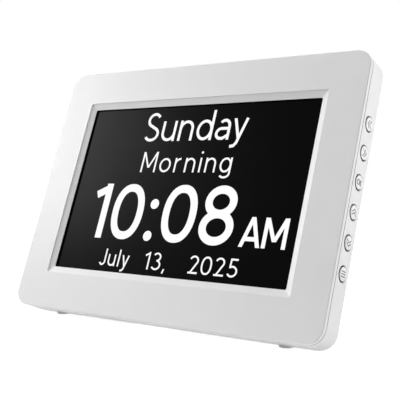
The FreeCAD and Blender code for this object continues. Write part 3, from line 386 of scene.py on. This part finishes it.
def characters(t):
    """Strokes and width of each character, one unit tall, drawn with a stroke of width t."""
    h = t / 2
    small = X_HEIGHT / 2 - h
    made = {}

    def add(character, width, *strokes):
        made[character] = (width, strokes)

    def line(*points):
        return ribbon(points, t)

    def bowl(width):
        return ring((width / 2, X_HEIGHT / 2), (width / 2 - h, small), t)

    # capitals
    turn = (1 - t) / 4.31
    add("S", 0.60, ribbon(arc((0.305, 1 - h - turn), (0.265 - h, turn), 28, 240)
                          + arc((0.305, h + turn), (0.295 - h, turn), 60, -152), t))
    add("M", 0.86, line((h, 0), (h, 1)), line((0.86 - h, 0), (0.86 - h, 1)),
        slant((0.43, 0.22), (h * 1.15, 1), t * 0.95), slant((0.43, 0.22), (0.86 - h * 1.15, 1), t * 0.95))
    add("A", 0.80, slant((h * 1.1, 0), (0.40, 1), t), slant((0.80 - h * 1.1, 0), (0.40, 1), t),
        line((0.17, 0.27), (0.63, 0.27)))
    add("J", 0.45, ribbon([(0.45 - h, 1), (0.45 - h, 0.4)]
                          + arc((0.215, h + 0.21), (0.235 - h, 0.21), 0, -155), t))
    # small letters
    arch = 0.29 - h
    add("u", 0.56, ribbon([(h, X_HEIGHT)] + arc((0.28, h + arch), (0.28 - h, arch), 180, 360), t),
        line((0.56 - h, 0), (0.56 - h, X_HEIGHT)))
    add("n", 0.56, ribbon(arc((0.28, X_HEIGHT - h - arch), (0.28 - h, arch), 180, 0) + [(0.56 - h, 0)], t),
        line((h, 0), (h, X_HEIGHT)))
    add("o", 0.64, bowl(0.64))
    add("d", 0.61, bowl(0.60), line((0.61 - h, 0), (0.61 - h, 1)))
    add("a", 0.53,
        ribbon([(0.53 - h, 0), (0.53 - h, X_HEIGHT - h - 0.2)]
               + arc((0.30, X_HEIGHT - h - 0.2), (0.23 - h, 0.2), 0, 140)[1:], t),
        ribbon([(0.53 - h, 0.42 - h)] + arc((0.22, 0.21), (0.22 - h, 0.21 - h), 90, 270)
               + [(0.30, h), (0.53 - h, 0.16)], t))
    add("y", 0.54, slant((0.28, 0.02), (h * 1.08, X_HEIGHT), t),
        ribbon([(0.54 - h * 1.1, X_HEIGHT), (0.235, -0.11), (0.155, TAIL + h + 0.02), (0.02, TAIL + h)], t))
    add("r", 0.36, line((h, 0), (h, X_HEIGHT)),
        ribbon([(h, 0.36)] + arc((0.33, X_HEIGHT - h - 0.25), (0.33 - h, 0.25), 180, 92), t))
    add("i", t, line((h, 0), (h, X_HEIGHT)), dot((h, 0.94), t * 0.62))
    add("l", t, line((h, 0), (h, 1)))
    add("g", 0.61, bowl(0.60),
        ribbon([(0.61 - h, X_HEIGHT), (0.61 - h, TAIL + 0.28)]
               + arc((0.31, TAIL + h + 0.19), (0.30 - h, 0.19), 0, -145), t))
    # figures
    add("0", 0.69, ring((0.345, 0.5), (0.345 - h, 0.5 - h), t, squareness=2.25))
    add("1", 0.36, line((0.36 - h, 0), (0.36 - h, 1)), line((0.03, 0.79), (0.36 - h, 1 - h * 1.25)))
    add("2", 0.64, ribbon(arc((0.315, 1 - h - 0.225), (0.30 - h, 0.225), 160, -32)
                          + [(0.13 + h, h * 1.1)], t), line((0.03, h), (0.64, h)))
    add("3", 0.62, ribbon(arc((0.29, 1 - h - 0.205), (0.28 - h, 0.205), 150, -90), t),
        ribbon(arc((0.29, (1 - t - 0.41) / 2 + h), (0.33 - h, (1 - t - 0.41) / 2), 90, -150), t))
    add("5", 0.62, line((0.11, 1 - h), (0.57, 1 - h)), line((0.11 + h, 1 - h), (0.085 + h, 0.50)),
        ribbon(arc((0.29, 0.31), (0.33 - h, 0.31 - h), 128, -150), t))
    waist = 0.52
    add("8", 0.66, ring((0.33, (1 - h + waist) / 2), (0.305 - h, (1 - waist - h) / 2), t),
        ring((0.33, (waist + h) / 2), (0.33 - h, (waist - h) / 2), t))
    # points
    add(":", 0.176, dot((0.088, 0.65), 0.088), dot((0.088, 0.088), 0.088))
    add(",", 0.15, slant((0.02, -0.15), (0.085, t), t * 0.95))
    return made


ROUND = set("Sdaog0238uJ")
SLANTED = set("Ay")
ROUND_SPACE = 0.055
SLANTED_SPACE = 0.02
STRAIGHT_SPACE = 0.075


def side_space(character):
    """Room beside a character, as a share of the capital height."""
    if character in SLANTED:
        return SLANTED_SPACE
    return ROUND_SPACE if character in ROUND else STRAIGHT_SPACE


def text_strokes(text, left, width, baseline, height, stroke):
    """Strokes of a text in millimetres, its characters spread evenly to fill the width."""
    shapes = characters(stroke)
    laid, at = [], 0.0
    for i, character in enumerate(text):
        at += side_space(character) if i else 0.0
        laid.append((at, shapes[character][1]))
        at += shapes[character][0] + (side_space(character) if i + 1 < len(text) else 0.0)
    gap = (width / height - at) / max(1, len(text) - 1)
    strokes = []
    for i, (start, parts) in enumerate(laid):
        for left_edge, right_edge, closed in parts:
            strokes.append(tuple([(left + (x + start + gap * i) * height, baseline + y * height)
                                  for x, y in edge] for edge in (left_edge, right_edge)) + (closed,))
    return strokes


def raised_strokes(name, strokes, place, sink, rise):
    """Closed prisms over the strokes. place(u, v, height) gives the point in the clock's frame."""
    vertices, faces = [], []
    for left, right, closed in strokes:
        first, count = len(vertices), len(left)
        for height in (sink, rise):
            for left_point, right_point in zip(left, right):
                vertices += [place(*left_point, height), place(*right_point, height)]

        def corner(i, side, top):
            return first + top * 2 * count + 2 * (i % count) + side

        for i in range(count if closed else count - 1):
            faces.append([corner(i, 0, 1), corner(i, 1, 1), corner(i + 1, 1, 1), corner(i + 1, 0, 1)])
            faces.append([corner(i, 0, 0), corner(i + 1, 0, 0), corner(i + 1, 1, 0), corner(i, 1, 0)])
            faces.append([corner(i, 0, 0), corner(i, 0, 1), corner(i + 1, 0, 1), corner(i + 1, 0, 0)])
            faces.append([corner(i, 1, 0), corner(i + 1, 1, 0), corner(i + 1, 1, 1), corner(i, 1, 1)])
        if not closed:
            end = count - 1
            faces.append([corner(0, 0, 0), corner(0, 1, 0), corner(0, 1, 1), corner(0, 0, 1)])
            faces.append([corner(end, 0, 0), corner(end, 0, 1), corner(end, 1, 1), corner(end, 1, 0)])
    return mesh_piece(name, vertices, faces)


def group_input(tree, name, kind):
    """A named input of the tree."""
    tree.interface.new_socket(name=name, in_out="INPUT", socket_type=kind)


def stroke_tree():
    """Joins crossing strokes into one closed skin, and lays it on a surface where one is given."""
    tree = bpy.data.node_groups.new("stroke_tree", "GeometryNodeTree")
    group_input(tree, "Strokes", "NodeSocketGeometry")
    group_input(tree, "Surface", "NodeSocketObject")
    group_input(tree, "Sheet", "NodeSocketFloat")
    group_input(tree, "Follow", "NodeSocketBool")
    group_input(tree, "Reach", "NodeSocketFloat")
    group_input(tree, "Finish", "NodeSocketMaterial")
    tree.interface.new_socket(name="Skin", in_out="OUTPUT", socket_type="NodeSocketGeometry")
    given = add_node(tree, "NodeGroupInput").outputs
    joined = add_node(tree, "GeometryNodeMeshBoolean",
                      {"Mesh 2": given["Strokes"], "Self Intersection": True},
                      operation="UNION", solver="EXACT")
    surface = add_node(tree, "GeometryNodeObjectInfo", {"Object": given["Surface"]})
    position = add_node(tree, "GeometryNodeInputPosition").outputs["Position"]
    apart = add_node(tree, "ShaderNodeSeparateXYZ", {"Vector": position}).outputs
    outside = calculate(tree, "ADD", given["Sheet"], given["Reach"])
    start = add_node(tree, "ShaderNodeCombineXYZ",
                     {"X": outside, "Y": apart["Y"], "Z": apart["Z"]}).outputs["Vector"]
    hit = add_node(tree, "GeometryNodeRaycast",
                   {"Target Geometry": surface.outputs["Geometry"], "Source Position": start,
                    "Ray Direction": (-1.0, 0.0, 0.0)}).outputs
    found = add_node(tree, "ShaderNodeSeparateXYZ", {"Vector": hit["Hit Position"]}).outputs
    proud = calculate(tree, "SUBTRACT", apart["X"], given["Sheet"])
    height = calculate(tree, "ADD", found["X"], proud)
    landed = add_node(tree, "ShaderNodeCombineXYZ", {"X": height, "Y": apart["Y"], "Z": apart["Z"]})
    lands = add_node(tree, "FunctionNodeBooleanMath", {0: given["Follow"], 1: hit["Is Hit"]},
                     operation="AND")
    laid = add_node(tree, "GeometryNodeSetPosition",
                    {"Geometry": joined.outputs["Mesh"], "Selection": lands.outputs[0],
                     "Position": landed.outputs["Vector"]})
    real = add_node(tree, "GeometryNodeRealizeInstances", {"Geometry": laid.outputs["Geometry"]})
    finished = add_node(tree, "GeometryNodeSetMaterial",
                        {"Geometry": real.outputs["Geometry"], "Material": given["Finish"]})
    add_node(tree, "NodeGroupOutput", {"Skin": finished.outputs["Geometry"]})
    return tree


STROKES = stroke_tree()

# How far outside the surface the search for it starts.
STROKE_REACH = 3 * MM


def joined_strokes(piece, finish_material, surface=None, sheet=0.0):
    """The piece's strokes put through the tree and turned into a plain mesh."""
    modifier = piece.modifiers.new("strokes", "NODES")
    modifier.node_group = STROKES
    sockets = {item.name: item.identifier for item in STROKES.interface.items_tree if item.in_out == "INPUT"}
    modifier[sockets["Finish"]] = finish_material
    if surface is not None:
        modifier[sockets["Surface"]] = surface
        modifier[sockets["Sheet"]] = sheet
        modifier[sockets["Follow"]] = True
        modifier[sockets["Reach"]] = STROKE_REACH
    settled = bpy.context.evaluated_depsgraph_get()
    mesh = bpy.data.meshes.new_from_object(piece.evaluated_get(settled))
    piece.modifiers.clear()
    piece.data = mesh
    mesh.name = piece.name
    mesh.materials.clear()
    mesh.materials.append(finish_material)
    return piece


# ---- what the display shows ----

LIT_TEXT = lit_text()
GLASS_FACE = span("lcd_glass", INTO)[0]
FACE_MIDDLE = sum(span("lcd_glass", UP)) / 2

LIT_SINK = 0.02 * MM
LIT_RISE = 0.05 * MM

# Text, left edge, width, baseline and capital height in millimetres from the display's middle,
# and the stroke's width as a share of the capital height.
READING = {
    "text_day": ("Sunday", -38.0, 76.0, 30.6, 19.1, 0.094),
    "text_part_of_day": ("Morning", -34.0, 66.5, 10.4, 13.2, 0.09),
    "text_time": ("10:08", -65.2, 107.9, -32.6, 35.2, 0.14),
    "text_half_of_day": ("AM", 48.1, 29.1, -32.2, 17.0, 0.142),
    "text_month": ("July", -48.5, 23.0, -49.4, 10.4, 0.1),
    "text_date": ("13,", -13.8, 16.0, -49.4, 10.4, 0.1),
    "text_year": ("2025", 18.4, 32.7, -49.4, 10.4, 0.1),
}


def on_glass(u, v, height):
    """A point this far right of and above the display's middle, in millimetres, and off the glass."""
    return RIGHT * (u * MM) + UP * (FACE_MIDDLE + v * MM) + INTO * (GLASS_FACE - height)


for name, (text, left, width, baseline, cap, stroke) in READING.items():
    piece = raised_strokes(name, text_strokes(text, left, width, baseline, cap, stroke),
                           on_glass, -LIT_SINK, LIT_RISE)
    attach(joined_strokes(piece, LIT_TEXT), "case")


# ---- the symbols on the side buttons ----

PAD_INK = pad_ink()
INK_SINK = 0.03 * MM
INK_RISE = 0.02 * MM

# Sizes of the symbols in millimetres.
SYMBOL_STROKE = 0.55
SYMBOL_STEP = 0.35
CHEVRON_REACH = 1.7
CHEVRON_GAP = 1.7
CHEVRON_HALF = 2.15


def fine(*points):
    """A thin stroke, cut into short steps so that it can follow the dome."""
    stepped = [points[0]]
    for a, b in zip(points, points[1:]):
        steps = max(1, round(math.dist(a, b) / SYMBOL_STEP))
        stepped += [(a[0] + (b[0] - a[0]) * k / steps, a[1] + (b[1] - a[1]) * k / steps)
                    for k in range(1, steps + 1)]
    return ribbon(stepped, SYMBOL_STROKE)


def chevrons(across, up):
    """Two arrowheads one behind the other, pointing across or up by the sign given."""
    strokes = []
    for shift in (-CHEVRON_GAP / 2, CHEVRON_GAP / 2):
        tip, tail = shift + CHEVRON_REACH / 2, shift - CHEVRON_REACH / 2
        outline = ((tail, CHEVRON_HALF), (tip, 0.0), (tail, -CHEVRON_HALF))
        strokes.append(fine(*[(across * u, v) if across else (v, up * u) for u, v in outline]))
    return strokes


def ok_letters():
    """O as a ring, and K as an upright with an arm and a leg."""
    letter_o = ring((-1.15, 0.0), (0.95, 1.35), SYMBOL_STROKE)
    upright = fine((0.55, -1.6), (0.55, 1.6))
    arm = fine((1.95, 1.6), (0.62, 0.1))
    leg = fine((0.95, 0.45), (2.0, -1.6))
    return [letter_o, upright, arm, leg]


def bars(places, half):
    """Level strokes at these places, one above the other."""
    return [fine((-half, v), (half, v)) for v in places]


SYMBOLS = {
    "previous": chevrons(-1, 0),
    "next": chevrons(1, 0),
    "confirm": ok_letters(),
    "up": chevrons(0, 1),
    "down": chevrons(0, -1),
    "menu": bars((-1.35, 0.0, 1.35), 1.9),
}


def button_symbol(button, strokes):
    """The symbol laid on the dome of its cap."""
    cap = frame["nodes"]["button_" + button]
    low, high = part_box("button_" + button)
    middle = (low + high) / 2

    def before_cap(u, v, height):
        return Vector((high.x + height, middle.y, middle.z)) + INTO * (u * MM) + UP * (v * MM)

    piece = raised_strokes("symbol_" + button, strokes, before_cap, -INK_SINK, INK_RISE)
    return joined_strokes(piece, PAD_INK, cap, high.x)


for button, strokes in SYMBOLS.items():
    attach(button_symbol(button, strokes), "button_" + button)


# ---- floor, world, lights and camera ----

FLOOR_SIZE = 12.0
FLOOR_DROP = 0.05 * MM
FLOOR_MOTTLE = 0.4

# The floor glows as the camera sees it, less strongly near the clock.
BACKDROP_NEAR = 0.2
BACKDROP_FAR = 1.2
BACKDROP_LOW = 0.7

# A narrow patch of floor under the clock's front edge throws light up at it.
PATCH_STRETCH = (2.0, 10.0, 1.0)
PATCH_SHIFT = (0.0, 0.25, 0.0)
PATCH_INNER = 0.2
PATCH_OUTER = 0.4
UNDER_GLOW = 0.2

# What the world gives to rays that the camera does not see.
STUDIO_FILL = 0.1


def studio_ray(tree):
    """One for what the camera sees directly, in a reflection or through glass, otherwise nought."""
    path = add_node(tree, "ShaderNodeLightPath").outputs
    seen = calculate(tree, "MAXIMUM", path["Is Camera Ray"], path["Is Glossy Ray"])
    return calculate(tree, "MAXIMUM", seen, path["Is Transmission Ray"])


def studio_floor():
    """A plain pale floor that glows as a backdrop for what the camera sees, and else only at the patch."""
    piece = mesh_piece("studio_floor",
                       [(x * FLOOR_SIZE / 2, y * FLOOR_SIZE / 2, -FLOOR_DROP)
                        for x, y in ((-1, -1), (1, -1), (1, 1), (-1, 1))],
                       [(0, 1, 2, 3)])
    material, tree, shader = finish("floor_paint", grey(0.85), 0.9, specular=0.0)
    mottle = spread(tree, grain(tree, FLOOR_MOTTLE), 0.0, 1.0)
    blend_colour(tree, shader, mottle, grey(0.84), grey(0.86))
    shader.inputs["Emission Color"].default_value = grey(1.0)
    place = object_place(tree)
    away = add_node(tree, "ShaderNodeVectorMath", {0: place}, operation="LENGTH").outputs["Value"]
    backdrop = ramp(tree, away, BACKDROP_NEAR, BACKDROP_FAR, BACKDROP_LOW, 1.0, "SMOOTHSTEP")
    under = add_node(tree, "ShaderNodeMapping",
                     {"Vector": place, "Location": PATCH_SHIFT, "Scale": PATCH_STRETCH}).outputs["Vector"]
    off_patch = add_node(tree, "ShaderNodeVectorMath", {0: under}, operation="LENGTH").outputs["Value"]
    patch = ramp(tree, off_patch, PATCH_INNER, PATCH_OUTER, UNDER_GLOW, 0.0, "SMOOTHSTEP")
    lit = ramp(tree, studio_ray(tree), 0.0, 1.0, patch, backdrop)
    tree.links.new(lit, shader.inputs["Emission Strength"])
    piece.data.materials.append(material)


def studio_world(fill):
    """White where the camera sees it, and the fill for other rays."""
    world = bpy.data.worlds.new("studio")
    world.use_nodes = True
    tree = world.node_tree
    sky = tree.nodes["Background"]
    sky.inputs["Color"].default_value = grey(1.0)
    strength = ramp(tree, studio_ray(tree), 0.0, 1.0, fill, 1.0)
    tree.links.new(strength, sky.inputs["Strength"])
    bpy.context.scene.world = world


MIDDLE = Vector((0.0, 0.0, 0.08))
LAMP_DISTANCE = 1.5

# Azimuth and elevation in degrees, side in metres and power in watts.
LAMPS = {
    "key_light": (-60, 29, 0.4, 6.4),
    "left_light": (-70, 20, 0.4, 5.1),
    "right_light": (130, 10, 0.9, 13.9),
    "top_light": (0, 90, 0.9, 14.7),
}

CAMERA_PLACE = Vector((0.2889, -0.3792, 0.0916))
CAMERA_LOOK = Vector((-0.5922, 0.8047, -0.0399))
CAMERA_LENS = 72.8
CAMERA_SENSOR = 36.0


def soft_box(name, azimuth, elevation, side, power):
    """A square lamp that faces the clock. Azimuth 0 is straight in front, 90 on the clock's right."""
    turn, rise = math.radians(azimuth), math.radians(elevation)
    towards = Vector((math.sin(turn) * math.cos(rise), -math.cos(turn) * math.cos(rise), math.sin(rise)))
    light = bpy.data.lights.new(name, "AREA")
    light.size = side
    light.energy = power
    lamp = bpy.data.objects.new(name, light)
    bpy.context.scene.collection.objects.link(lamp)
    lamp.location = MIDDLE + towards * LAMP_DISTANCE
    lamp.rotation_mode = "QUATERNION"
    lamp.rotation_quaternion = towards.to_track_quat("Z", "Y")
    lamp.visible_camera = False


def studio_camera():
    """The camera at the clock's right and a little above its middle."""
    data = bpy.data.cameras.new("camera")
    data.sensor_width = CAMERA_SENSOR
    data.lens = CAMERA_LENS
    camera = bpy.data.objects.new("camera", data)
    bpy.context.scene.collection.objects.link(camera)
    camera.location = CAMERA_PLACE
    camera.rotation_mode = "QUATERNION"
    camera.rotation_quaternion = CAMERA_LOOK.to_track_quat("-Z", "Y")
    bpy.context.scene.camera = camera


studio_floor()
studio_world(STUDIO_FILL)
for name, settings in LAMPS.items():
    soft_box(name, *settings)
studio_camera()
bpy.context.scene.view_settings.view_transform = "Standard"
